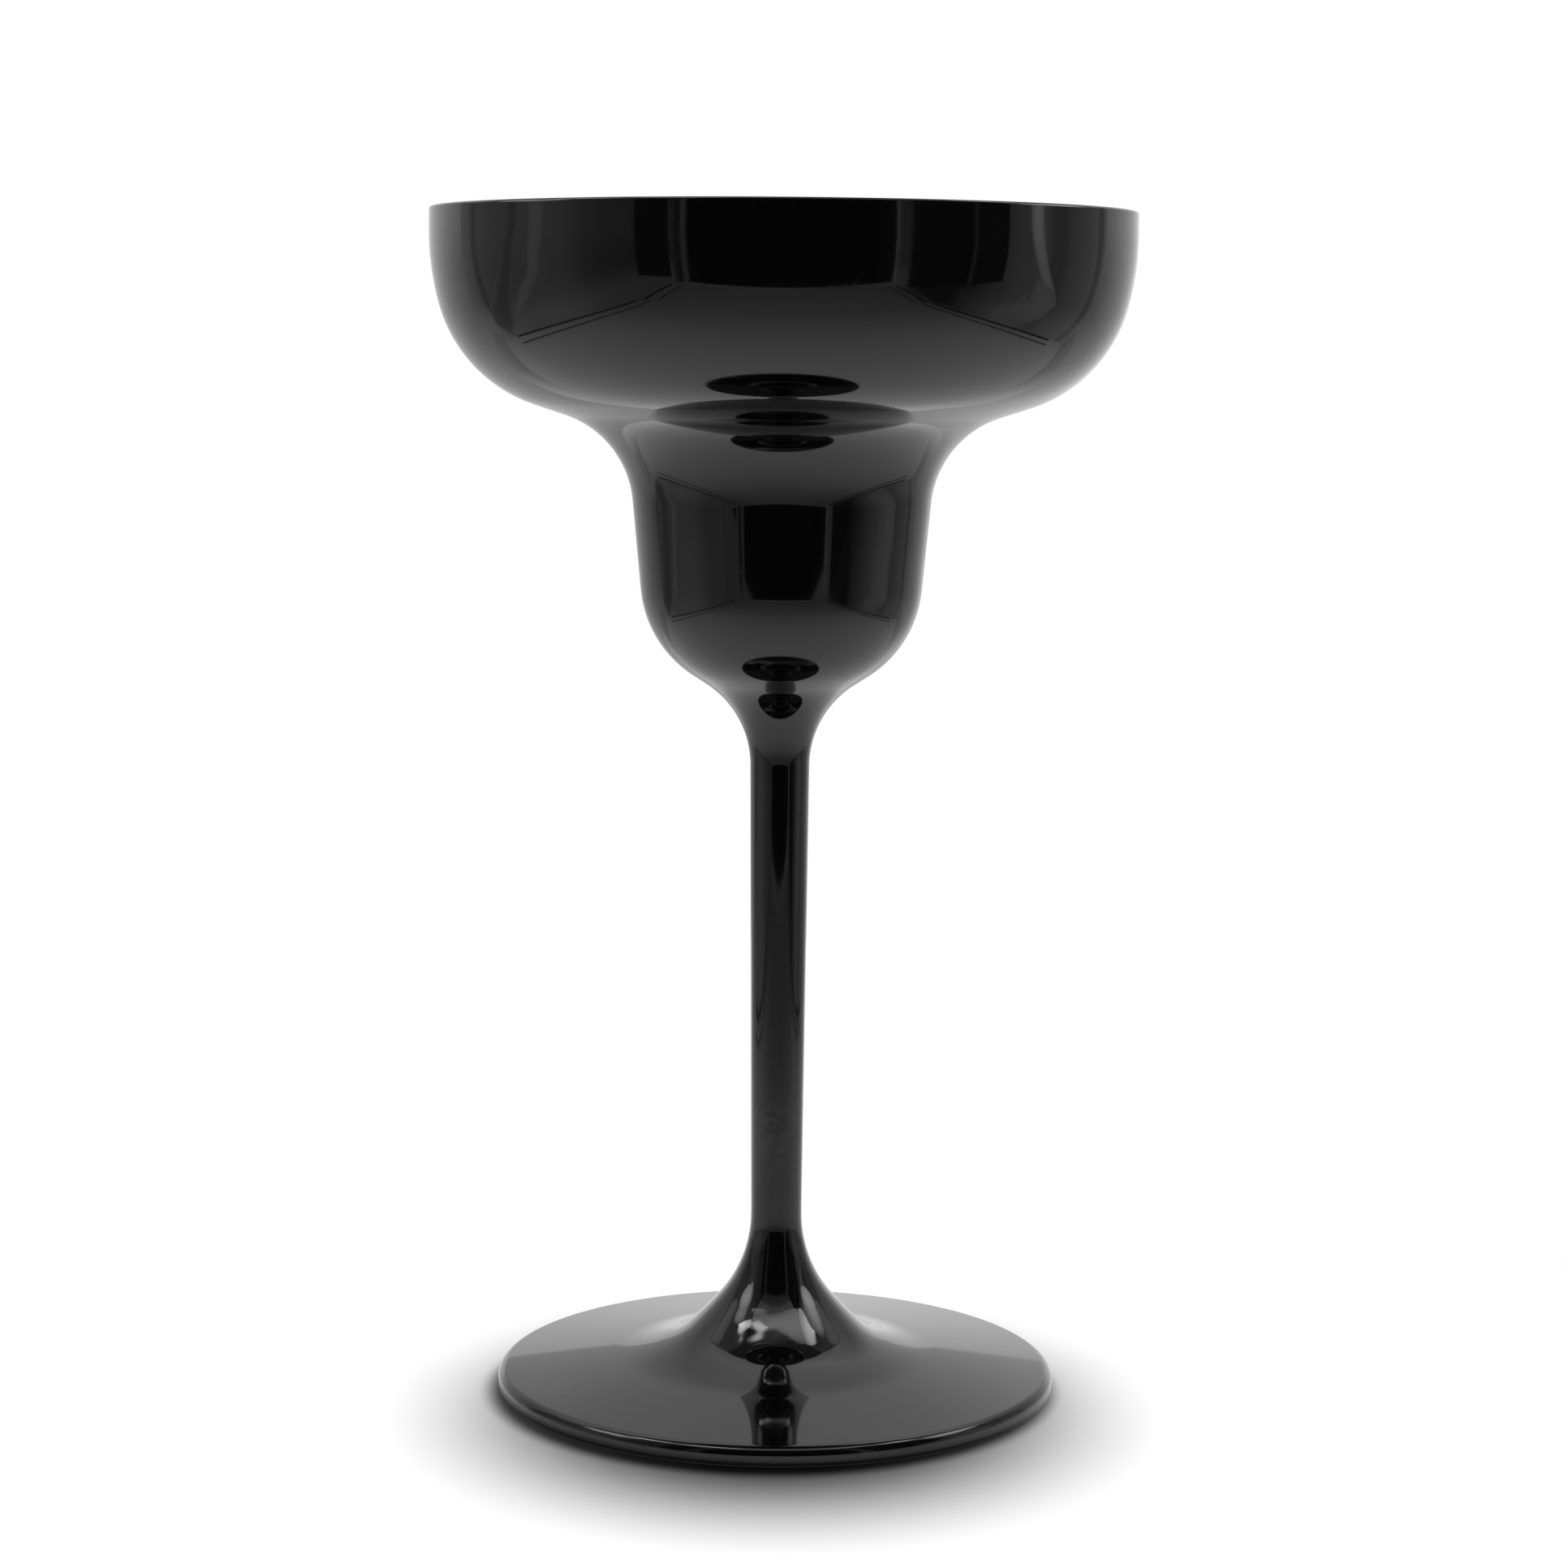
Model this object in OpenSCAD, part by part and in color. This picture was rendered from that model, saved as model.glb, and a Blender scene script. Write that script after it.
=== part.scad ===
// Margarita glass of moulded plastic: a two-tier bowl, a tapered stem and a flared foot, bonded end to end.
// Millimetres, +Z up, with the origin on the axis at the surface that the glass stands on.

/* [Bowl] */
// Outer diameter of the rim
rim_d = 110; // [90:0.5:130]
// Outer diameter at the bend between the coupe's leaning wall and its shelf
coupe_d = 101; // [80:0.5:112]
// Outer diameter at the bend between the shelf and the well
well_top_d = 48.8; // [44:0.2:64]
// Outer diameter at the bend between the well and its base
well_base_d = 42.6; // [34:0.2:54]
// Height of the upright wall under the rim
rim_h = 9.25; // [6:0.25:20]
// Height of the coupe's leaning wall
coupe_h = 17.15; // [12:0.05:30]
// Rise of the shelf from the well out to the leaning wall
shelf_h = 8.6; // [4:0.1:14]
// Height of the well's wall
well_h = 32.75; // [24:0.25:50]
// Rise of the base from the neck out to the well's wall
base_h = 10.75; // [7:0.25:15]
// Height of the neck from the stem to the base
neck_h = 8.5; // [7:0.25:14]
// Thickness of the bowl's wall
bowl_wall = 2.2; // [1.4:0.1:3]
// Rounding of the lip's two edges
lip_round = 0.4; // [0.3:0.05:1.2]
// Rounding between the upright and the leaning wall
wall_round = 42; // [20:1:60]
// Rounding between the leaning wall and the shelf
coupe_round = 22.5; // [12:0.5:28]
// Hollow rounding between the shelf and the well
shelf_round = 15.5; // [6:0.5:22]
// Rounding between the well and its base
base_round = 18; // [10:0.5:20]
// Hollow rounding between the base and the neck
neck_round = 15.5; // [6:0.5:18]

/* [Stem] */
// Length of the stem between the bowl and the foot
stem_len = 71; // [30:0.5:120]
// Diameter of the stem at the bowl
stem_top_d = 9.35; // [7.5:0.05:14]
// Diameter of the stem at the foot
stem_base_d = 8.15; // [7.5:0.05:14]
// Diameter of the spigot at each end of the stem
spigot_d = 5; // [3:0.1:6]
// Length of the spigot at each end of the stem
spigot_len = 8; // [5:0.25:10]
// Rounding of the spigot's end
spigot_round = 0.5; // [0.2:0.05:1]
// Gap for the bond around a spigot in its socket
bond_gap = 0.05; // [0.02:0.01:0.15]
// Gap between the end of a spigot and the floor of its socket
end_gap = 0.5; // [0.2:0.1:1]

/* [Foot] */
// Diameter of the foot
foot_d = 89.4; // [70:0.2:110]
// Height of the foot's edge before it is rounded
edge_h = 3.1; // [2.6:0.1:5]
// Diameter at the bend where the foot's top starts to turn up
sweep_d = 44.3; // [40:0.1:56]
// Rise of the foot's top from its edge to that bend
sweep_h = 2.5; // [1:0.01:4]
// Diameter at the bend at the base of the hub
knee_d = 31.2; // [28:0.1:36]
// Rise of the foot's top between those two bends
knee_h = 2.4; // [1.2:0.01:4]
// Diameter at the slight bend halfway up the hub's side
waist_d = 22.6; // [18:0.1:23]
// Rise of the hub's side from its base to that bend
waist_h = 4.08; // [3:0.01:5]
// Rise of the hub's side from that bend to the upright collar
hub_h = 8.29; // [7:0.01:11]
// Height of the upright collar under the stem
collar_h = 9.13; // [8:0.01:16]
// Hollow rounding where the foot's top starts to turn up
sweep_round = 30.5; // [10:0.5:40]
// Hollow rounding at the base of the hub
knee_round = 12; // [6:0.1:18]
// Hollow rounding of the slight bend in the hub's side
waist_round = 66; // [20:1:80]
// Hollow rounding between the hub's side and the collar
flare_round = 20.5; // [10:0.5:26]
// Rounding of the edge's upper side
edge_round = 1.6; // [0.6:0.1:3]
// Rounding of the edge's lower side
toe_round = 0.8; // [0.3:0.1:1.2]
// Thickness of the foot's wall over its hollow underside
foot_wall = 2.2; // [1.6:0.1:2.8]
// Width of the ring that the glass stands on, with its rounded toe
ring_w = 5.2; // [3:0.1:10]
// Thickness of the web between the hub's socket and the hollow underside
web_t = 3; // [1.5:0.1:5]

/* [Hidden] */
// Sides of a full turn in a preview
$fn = 180;
// Most of an edge that the roundings at its two ends may use
rounding_share = 0.995;
// How far a rounding's piece laps over the edges that it joins
lap = 0.1;
// How far a rounding's arc bites into those edges, so that it crosses them cleanly
bite = 0.0005;
// How far a cut runs past the face that it opens
overrun = 1;
// Dyed-through black of all three mouldings
black = "#1b1b1d";

// Radii
rim_r = rim_d / 2;
foot_r = foot_d / 2;
stem_top_r = stem_top_d / 2;
stem_base_r = stem_base_d / 2;
spigot_r = spigot_d / 2;
socket_r = spigot_r + bond_gap;
socket_depth = spigot_len + end_gap;

// Heights in the bowl, above the seat on the stem
well_base_z = neck_h + base_h;
well_top_z = well_base_z + well_h;
coupe_z = well_top_z + shelf_h;
wall_z = coupe_z + coupe_h;
bowl_h = wall_z + rim_h;
// Heights in the foot, above the table
sweep_z = edge_h + sweep_h;
knee_z = sweep_z + knee_h;
waist_z = knee_z + waist_h;
flare_z = waist_z + hub_h;
foot_h = flare_z + collar_h;
// Rounding of the lip, at most half of the wall
lip_r = min(lip_round, rounding_share * bowl_wall / 2);

// Outline geometry
function unit(v) = v / norm(v);
// Normal of edge i, to the left of the way the outline runs, which is into the solid
function inward(p, i) = let (along = unit(p[i + 1] - p[i])) [-along.y, along.x];
// Positive where the outline turns left at corner i, which is an outer corner of the solid
function turn(p, i) = cross(p[i] - p[i - 1], p[i + 1] - p[i]);
// Angle between the two edges at corner i
function corner_angle(p, i) =
    let (back = p[i - 1] - p[i], ahead = p[i + 1] - p[i])
    acos(back * ahead / (norm(back) * norm(ahead)));
// Corner i of an outline whose two edges there are set in by t
function inset_corner(p, i, t) =
    let (a = inward(p, i - 1), b = inward(p, i))
    p[i] + t * (a + b) / (1 + a * b);
// Point at height z on the line through a and b
function at_height(a, b, z) = a + (b - a) * (z - a.y) / (b.y - a.y);
// Point at radius x on the line through a and b
function at_radius(a, b, x) = a + (b - a) * (x - a.x) / (b.x - a.x);

// Length that a rounding with radius r[i] would take from each edge at corner i
function wanted_run(p, r, i) = r[i] == 0 ? 0 : r[i] / tan(corner_angle(p, i) / 2);
// Share of those lengths that fits on edge i
function fitting_share(p, r, i) =
    let (both = wanted_run(p, r, i) + wanted_run(p, r, i + 1))
    both == 0 ? 1 : min(1, rounding_share * norm(p[i + 1] - p[i]) / both);
// Length, radius and centre of the rounding at corner i
function arc_run(p, r, i) = wanted_run(p, r, i) * min(fitting_share(p, r, i - 1), fitting_share(p, r, i));
function arc_radius(p, r, i) = arc_run(p, r, i) * tan(corner_angle(p, i) / 2);
function arc_centre(p, r, i) =
    p[i] + unit(unit(p[i - 1] - p[i]) + unit(p[i + 1] - p[i]))
        * arc_radius(p, r, i) / sin(corner_angle(p, i) / 2);

// Area between corner i and the arc that rounds it, lapped over the edges on the corner's side
module corner_piece(p, r, i) {
    radius = arc_radius(p, r, i);
    centre = arc_centre(p, r, i);
    back = p[i] + unit(p[i - 1] - p[i]) * arc_run(p, r, i);
    ahead = p[i] + unit(p[i + 1] - p[i]) * arc_run(p, r, i);
    reach_share = (radius + lap) / radius;
    difference() {
        polygon([centre, for (q = [ahead, p[i], back]) centre + (q - centre) * reach_share]);
        translate(centre) circle(radius + bite);
    }
}

// Outline p, from axis to axis, with corner i rounded by radius r[i]
module rounded_outline(p, r) {
    corners = [for (i = [1 : len(p) - 2]) if (r[i] > 0) i];
    difference() {
        union() {
            polygon(p);
            for (i = corners) if (turn(p, i) < 0) corner_piece(p, r, i);
        }
        for (i = corners) if (turn(p, i) > 0) corner_piece(p, r, i);
    }
}

// Outside of the bowl, with the socket for the stem's upper spigot
bowl_points = [
    [0, socket_depth],
    [socket_r, socket_depth],
    [socket_r, 0],
    [stem_top_r, 0],
    [stem_top_r, neck_h],
    [well_base_d / 2, well_base_z],
    [well_top_d / 2, well_top_z],
    [coupe_d / 2, coupe_z],
    [rim_r, wall_z],
    [rim_r, bowl_h],
    [0, bowl_h]
];
bowl_rounds = [0, 0, 0, 0, neck_round, base_round, shelf_round, coupe_round, wall_round, lip_r, 0];
// Places in bowl_points of the bends that the inside follows
base_bend = 5;
shelf_bend = 6;
coupe_bend = 7;
wall_bend = 8;

// Inside of the bowl: the outside set in by the wall, down to a floor that the base's rounding runs out to
floor_round = arc_radius(bowl_points, bowl_rounds, base_bend) - bowl_wall;
floor_z = arc_centre(bowl_points, bowl_rounds, base_bend).y - floor_round;
well_inset = bowl_wall * inward(bowl_points, base_bend);
inner_r = rim_r - bowl_wall;
inside_points = [
    [0, floor_z],
    at_height(bowl_points[base_bend] + well_inset, bowl_points[shelf_bend] + well_inset, floor_z),
    inset_corner(bowl_points, shelf_bend, bowl_wall),
    inset_corner(bowl_points, coupe_bend, bowl_wall),
    inset_corner(bowl_points, wall_bend, bowl_wall),
    [inner_r, bowl_h + overrun],
    [0, bowl_h + overrun]
];
inside_rounds = [
    0,
    floor_round,
    arc_radius(bowl_points, bowl_rounds, shelf_bend) + bowl_wall,
    arc_radius(bowl_points, bowl_rounds, coupe_bend) - bowl_wall,
    arc_radius(bowl_points, bowl_rounds, wall_bend) - bowl_wall,
    0,
    0
];
// Inner edge of the lip, which is rounded like the outer one
lip_points = [[rim_r, bowl_h], [inner_r, bowl_h], [inner_r, wall_z]];
lip_rounds = [0, lip_r, 0];

module bowl() {
    color(black) translate([0, 0, foot_h + stem_len])
    rotate_extrude()
    difference() {
        rounded_outline(bowl_points, bowl_rounds);
        rounded_outline(inside_points, inside_rounds);
        corner_piece(lip_points, lip_rounds, 1);
    }
}

// Stem, above its seat on the foot
stem_points = [
    [0, -spigot_len],
    [spigot_r, -spigot_len],
    [spigot_r, 0],
    [stem_base_r, 0],
    [stem_top_r, stem_len],
    [spigot_r, stem_len],
    [spigot_r, stem_len + spigot_len],
    [0, stem_len + spigot_len]
];
stem_rounds = [0, spigot_round, 0, 0, 0, 0, spigot_round, 0];

module stem() {
    color(black) translate([0, 0, foot_h])
    rotate_extrude()
    rounded_outline(stem_points, stem_rounds);
}

// Outside of the foot, with the socket for the stem's lower spigot
foot_points = [
    [0, 0],
    [foot_r, 0],
    [foot_r, edge_h],
    [sweep_d / 2, sweep_z],
    [knee_d / 2, knee_z],
    [waist_d / 2, waist_z],
    [stem_base_r, flare_z],
    [stem_base_r, foot_h],
    [socket_r, foot_h],
    [socket_r, foot_h - socket_depth],
    [0, foot_h - socket_depth]
];
foot_rounds = [0, toe_round, edge_round, sweep_round, knee_round, waist_round, flare_round, 0, 0, 0, 0];
// Places in foot_points of the edge and of the bends that the hollow follows
edge_bend = 2;
sweep_bend = 3;
knee_bend = 4;
waist_bend = 5;
flare_bend = 6;

// Hollow underside: the foot's top set in by the wall, from the standing ring up to a flat roof in the hub
ring_r = foot_r - ring_w;
roof_z = foot_h - socket_depth - web_t;
top_inset = foot_wall * inward(foot_points, edge_bend);
under_sweep = inset_corner(foot_points, sweep_bend, foot_wall);
under_flare = inset_corner(foot_points, flare_bend, foot_wall);
hollow_points = [
    [0, -overrun],
    [ring_r, -overrun],
    at_radius(foot_points[edge_bend] + top_inset, under_sweep, ring_r),
    under_sweep,
    inset_corner(foot_points, knee_bend, foot_wall),
    inset_corner(foot_points, waist_bend, foot_wall),
    under_flare,
    [under_flare.x, foot_h],
    [0, foot_h]
];
hollow_rounds = [
    0,
    0,
    0,
    arc_radius(foot_points, foot_rounds, sweep_bend) + foot_wall,
    arc_radius(foot_points, foot_rounds, knee_bend) + foot_wall,
    arc_radius(foot_points, foot_rounds, waist_bend) + foot_wall,
    arc_radius(foot_points, foot_rounds, flare_bend) + foot_wall,
    0,
    0
];

module foot_hollow() {
    intersection() {
        rounded_outline(hollow_points, hollow_rounds);
        translate([0, -overrun]) square([foot_r, roof_z + overrun]);
    }
}

module foot() {
    color(black)
    rotate_extrude()
    difference() {
        rounded_outline(foot_points, foot_rounds);
        foot_hollow();
    }
}

bowl();
stem();
foot();
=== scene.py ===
# %% [markdown]
# A black margarita glass
#
# The real glass is three plastic mouldings, bonded end to end: a two-tier bowl, a thin stem and a flared
# foot. This lesson turns each one from its outline, as on a lathe, gives it the gloss of dyed-through
# acrylic, and stands it in a small cloth light tent. The imported CAD model is loaded first. It is the fixed
# frame that every piece has to fit, and its box is kept, so that each piece can be compared with it as soon
# as it is turned.

# %% Load the imported model
import math
from collections import Counter

import bpy
from mathutils import Euler, Matrix, Vector


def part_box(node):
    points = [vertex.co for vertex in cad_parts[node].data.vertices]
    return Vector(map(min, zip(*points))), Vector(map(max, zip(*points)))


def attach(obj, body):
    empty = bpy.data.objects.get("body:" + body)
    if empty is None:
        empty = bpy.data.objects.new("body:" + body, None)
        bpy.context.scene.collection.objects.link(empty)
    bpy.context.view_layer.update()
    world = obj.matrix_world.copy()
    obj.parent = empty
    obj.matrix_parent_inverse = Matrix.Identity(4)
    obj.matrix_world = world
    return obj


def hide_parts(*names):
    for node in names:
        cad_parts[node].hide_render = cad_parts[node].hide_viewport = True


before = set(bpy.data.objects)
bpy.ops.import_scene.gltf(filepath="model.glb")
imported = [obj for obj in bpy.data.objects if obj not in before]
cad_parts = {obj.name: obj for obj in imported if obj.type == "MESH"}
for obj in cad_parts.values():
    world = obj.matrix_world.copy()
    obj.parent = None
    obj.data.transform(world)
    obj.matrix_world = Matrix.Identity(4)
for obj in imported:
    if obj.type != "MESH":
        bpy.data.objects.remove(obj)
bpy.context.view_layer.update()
MM = 0.001


def in_mm(lengths):
    """Lengths in mm, rounded for printing."""
    return [round(length / MM, 2) for length in lengths]


print("CAD nodes:", sorted(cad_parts))

# %% [markdown]
# The camera
#
# The photo looks slightly down on the glass: it sees the rim from 2 degrees below and the foot from 17
# degrees above, which only one distance allows. The numbers come from fitting the glass's outline. A
# camera at that spot, with that lens, draws every ellipse of the glass as the photo does. The photo also
# leans a little.

# %% Add the camera
camera_place = Vector((0, -554.9, 168.1)) * MM
look_down, look_right, lean = (math.radians(degrees) for degrees in (7.24, 0.071, 0.468))
sensor_mm, lens_mm = 36, 80.94

bpy.ops.object.select_all(action="DESELECT")
bpy.ops.object.camera_add(location=camera_place)
camera = bpy.context.object
aim = Euler((math.pi / 2 - look_down, 0, -look_right)).to_matrix() @ Matrix.Rotation(lean, 3, "Z")
camera.rotation_euler = aim.to_euler()
camera.data.sensor_width = sensor_mm
camera.data.lens = lens_mm
bpy.context.scene.camera = camera
print("camera", round(camera_place.length / MM), "mm from the foot, lens", lens_mm, "mm")

# %% [markdown]
# Turning a piece from its outline
#
# Every moulding of this glass is round, so each is drawn as half of its section and spun about the axis.
# Bezier curves with a Screw modifier would do too, but a gloss this high shows every bump of a curve that
# isn't a true arc. So the outline starts as one point, and that point is extruded along the straight
# stretches and spun about the centres of the roundings. First, a corner and its radius have to give the
# arc that rounds it.

# %% Round a corner of an outline
def rounding(before, corner, after, radius):
    """Start, centre and turn of the arc that rounds a corner of an outline."""
    back, ahead = (before - corner).normalized(), (after - corner).normalized()
    half = back.angle(ahead) / 2
    start = corner + back * radius / math.tan(half)
    centre = corner + (back + ahead).normalized() * radius / math.sin(half)
    return start, centre, (-back).angle_signed(ahead)


_, _, square_turn = rounding(Vector((0, 5)), Vector((0, 0)), Vector((5, 0)), 1)
print("the rounding of a square corner turns", round(math.degrees(square_turn)), "degrees")

# %% [markdown]
# Each straight stretch has a very short step at both ends. These work as support loops do: smooth shading
# bends the normals only within them, and the wall beside a small rounding stays straight in the gloss. An
# arc gets as many chords as it needs to stay within a few thousandths of a millimetre.

# %% Draw a straight stretch
longest_step, support_step = 2 * MM, 0.05 * MM


def draw_line(start, end):
    """Extrudes the outline's last point straight on, in even steps between two short ones."""
    length = (end - start).length
    inner = length - 2 * support_step
    count = max(1, math.ceil(inner / longest_step))
    steps = [support_step, *[inner / count] * count, support_step] if inner > 0 else [length]
    ahead = (end - start).normalized()
    for step in steps:
        move = (ahead.x * step, 0, ahead.y * step)
        bpy.ops.mesh.extrude_region_move(TRANSFORM_OT_translate={"value": move})


print("steps of up to", longest_step / MM, "mm between two of", round(support_step / MM, 3), "mm")

# %% Draw an arc
chord_depth, fewest_chords = 0.004 * MM, 4


def chord_count(radius, turn):
    """How many chords an arc needs to stay close to its true line."""
    chord_turn = 2 * math.acos(1 - chord_depth / radius)
    return max(fewest_chords, math.ceil(abs(turn) / chord_turn))


def draw_arc(radius, centre, turn):
    """Spins the outline's last point on about a centre."""
    bpy.ops.mesh.spin(steps=chord_count(radius, turn), angle=-turn,
                      center=(centre.x, 0, centre.y), axis=(0, 1, 0))


print("a quarter turn of 20 mm radius has", chord_count(20 * MM, math.pi / 2), "chords")

# %% [markdown]
# The outline is a list of corners. It runs from the axis round the section and back to the axis, so the
# spin closes the piece by itself. Where it starts and ends on the axis, the spun points are merged into
# one.

# %% Draw a whole outline
def draw_outline(outline):
    """Draws (radius, height, rounding) corners in edit mode, from a mesh that is merged to one point."""
    points = [Vector(corner[:2]) for corner in outline]
    bpy.ops.mesh.merge(type="CENTER")
    bpy.ops.transform.translate(value=(points[0].x, 0, points[0].y))
    pen = points[0]
    for i in range(1, len(points)):
        radius = outline[i][2]
        if radius == 0:
            draw_line(pen, points[i])
            pen = points[i]
            continue
        start, centre, turn = rounding(points[i - 1], points[i], points[i + 1], radius)
        draw_line(pen, start)
        draw_arc(radius, centre, turn)
        pen = centre + Matrix.Rotation(-turn, 2) @ (start - centre)


print("made", draw_outline.__name__, "from", rounding.__name__, draw_line.__name__, draw_arc.__name__)

# %% Spin it into a piece
turn_steps = 256
weld_gap = 0.001 * MM
smooth_angle = math.radians(30)


def turn_piece(name, outline):
    """Spins an outline that runs from axis to axis into a closed piece."""
    bpy.ops.object.select_all(action="DESELECT")
    bpy.ops.mesh.primitive_plane_add(size=MM)
    piece = bpy.context.object
    piece.name = piece.data.name = name
    bpy.ops.object.mode_set(mode="EDIT")
    draw_outline(outline)
    bpy.ops.mesh.select_all(action="SELECT")
    bpy.ops.mesh.spin(steps=turn_steps, angle=2 * math.pi, center=(0, 0, 0), axis=(0, 0, 1))
    bpy.ops.mesh.select_all(action="SELECT")
    bpy.ops.mesh.remove_doubles(threshold=weld_gap)
    bpy.ops.mesh.normals_make_consistent(inside=False)
    bpy.ops.object.mode_set(mode="OBJECT")
    bpy.ops.object.shade_smooth_by_angle(angle=smooth_angle)
    return piece


print("a full turn has", turn_steps, "steps of", round(360 / turn_steps, 2), "degrees")

# %% [markdown]
# A turned piece has to be closed, and as large as its CAD node. Every edge of a closed skin belongs to
# exactly two faces. In Blender's window, Select Non Manifold finds the edges that don't, and here they
# are counted, so that the number can be printed.

# %% Measure a piece beside its node
def report(piece, node):
    """Prints a piece's size beside its node's, and how many of its edges don't have two faces."""
    low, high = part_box(node)
    edge_use = Counter(key for face in piece.data.polygons for key in face.edge_keys)
    open_edges = sum(count != 2 for count in edge_use.values())
    print(piece.name, "faces", len(piece.data.polygons), "open edges", open_edges)
    print("size", in_mm(piece.dimensions), "node", in_mm(high - low))


# %% [markdown]
# The bowl
#
# The bowl is a wide coupe that steps down into a narrow well, over a solid neck with a socket for the
# stem. The wall is 2.2 mm thick all over. A Solidify modifier would give that wall, but it would hollow
# the neck as well, so the inside gets an outline of its own: each outer bend is set in by the wall, and
# its rounding grows or shrinks by the wall, which keeps the two arcs on one centre. The rim and the place
# where the stem meets the neck are read from the frame, and the bends between them are the mould's own
# sizes: radius, height and rounding.

# %% Set the bends of the bowl
bowl_low, bowl_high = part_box("bowl")
rim_r, rim_z = bowl_high.x, bowl_high.z
neck_r, seat_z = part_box("stem")[1].x, bowl_low.z
wall = 2.2 * MM
lip = 0.4 * MM
bends = {
    "neck": (neck_r, seat_z + 8.5 * MM, 15.5 * MM),
    "base": (21.3 * MM, seat_z + 19.25 * MM, 18 * MM),
    "shelf": (24.4 * MM, seat_z + 52 * MM, 15.5 * MM),
    "coupe": (50.5 * MM, seat_z + 60.6 * MM, 22.5 * MM),
    "side": (rim_r, seat_z + 77.75 * MM, 42 * MM),
}
print("rim radius and height", in_mm((rim_r, rim_z)), "mm, bends:", list(bends))

# %% Set the inside in by the wall
def set_in(before, corner, after, depth):
    """Corner of the line that runs inside an outline at an even depth."""
    left_of_back = (corner - before).normalized().orthogonal()
    left_of_ahead = (after - corner).normalized().orthogonal()
    return corner + depth * (left_of_back + left_of_ahead) / (1 + left_of_back.dot(left_of_ahead))


neck, base, shelf, coupe, side = (Vector(bend[:2]) for bend in bends.values())
rim = Vector((rim_r, rim_z))
shelf_in = set_in(base, shelf, coupe, wall)
coupe_in = set_in(shelf, coupe, side, wall)
side_in = set_in(coupe, side, rim, wall)
_, base_centre, _ = rounding(neck, base, shelf, bends["base"][2])
floor_round = bends["base"][2] - wall
floor_z = base_centre.y - floor_round
well_line = (shelf - base).normalized()
foot_of_wall = shelf_in - well_line * (shelf_in.y - floor_z) / well_line.y
print("floor of the well and inner radius of the rim", in_mm((floor_z, side_in.x)), "mm")

# %% Turn the bowl
socket_r, socket_depth = 2.55 * MM, 8.5 * MM
bowl = turn_piece("bowl_moulding", [
    (0, seat_z + socket_depth, 0),
    (socket_r, seat_z + socket_depth, 0),
    (socket_r, seat_z, 0),
    (neck_r, seat_z, 0),
    *bends.values(),
    (rim_r, rim_z, lip),
    (rim_r - wall, rim_z, lip),
    (*side_in, bends["side"][2] - wall),
    (*coupe_in, bends["coupe"][2] - wall),
    (*shelf_in, bends["shelf"][2] + wall),
    (*foot_of_wall, floor_round),
    (0, floor_z, 0),
])
report(bowl, "bowl")

# %% [markdown]
# The stem
#
# The stem is a plain rod that tapers by a little more than a millimetre from the bowl to the foot. A
# cylinder with one end scaled would give the taper, but each end also has a spigot that was glued into
# its neighbour. So the rod is turned like the others, and its outline starts and ends with a spigot.

# %% Turn the stem
stem_low, stem_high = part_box("stem")
hub_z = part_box("foot")[1].z
hub_r = 4.075 * MM
spigot_r, spigot_round = 2.5 * MM, 0.5 * MM
stem = turn_piece("stem_rod", [
    (0, stem_low.z, 0),
    (spigot_r, stem_low.z, spigot_round),
    (spigot_r, hub_z, 0),
    (hub_r, hub_z, 0),
    (neck_r, seat_z, 0),
    (spigot_r, seat_z, 0),
    (spigot_r, stem_high.z, spigot_round),
    (0, stem_high.z, 0),
])
report(stem, "stem")

# %% [markdown]
# The foot
#
# The foot is almost flat at its edge and turns up in four bends to the collar under the stem: a wide one,
# a tight one at the base of the hub, a slight one halfway up its side, and a long one into the collar.
# The outline alone doesn't show the lower three, but the gloss does: the mirror image of the bowl at the
# base of the hub is only that flat over a tight bend.

# %% Set the bends of the foot
foot_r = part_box("foot")[1].x
edge_h, edge_round, toe_round = 3.1 * MM, 1.6 * MM, 0.8 * MM
foot_bends = {
    "sweep": (22.15 * MM, 5.6 * MM, 30.5 * MM),
    "knee": (15.6 * MM, 8.0 * MM, 12 * MM),
    "waist": (11.3 * MM, 12.08 * MM, 66 * MM),
    "collar": (hub_r, 20.37 * MM, 20.5 * MM),
}
edge, hub = Vector((foot_r, edge_h)), Vector((hub_r, hub_z))
sweep, knee, waist, collar = (Vector(bend[:2]) for bend in foot_bends.values())
slopes = [math.degrees(math.atan2(b.y - a.y, a.x - b.x))
          for a, b in ((edge, sweep), (sweep, knee), (knee, waist), (waist, collar))]
print("slopes of the foot's top:", [round(slope, 1) for slope in slopes], "degrees")

# %% [markdown]
# Underneath, the foot is hollow, so that only the outer ring touches the table and the wall is as thin as
# a moulding needs. The hollow follows the same centres, so it is set in as the bowl's inside was. It
# stops at a flat roof under the socket, so its last arc starts at the roof's edge: the corner that this
# arc rounds lies where the tangents of its two ends meet.

# %% Find the hollow under the foot
foot_wall, ring_w, web = 2.2 * MM, 5.2 * MM, 3 * MM
sweep_in = set_in(edge, sweep, knee, foot_wall)
knee_in = set_in(sweep, knee, waist, foot_wall)
waist_in = set_in(knee, waist, collar, foot_wall)
roof_z = hub_z - socket_depth - web
_, collar_centre, _ = rounding(waist, collar, hub, foot_bends["collar"][2])
hollow_round = foot_bends["collar"][2] + foot_wall
roof_r = collar_centre.x - math.sqrt(hollow_round ** 2 - (collar_centre.y - roof_z) ** 2)
roof_angle = math.atan2(roof_z - collar_centre.y, roof_r - collar_centre.x)
side_angle = -math.pi / 2 - math.radians(slopes[-1])
halfway, spread = (roof_angle + side_angle) / 2, (side_angle - roof_angle) / 2
under = collar_centre + hollow_round / math.cos(spread) * Vector((math.cos(halfway), math.sin(halfway)))
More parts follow.
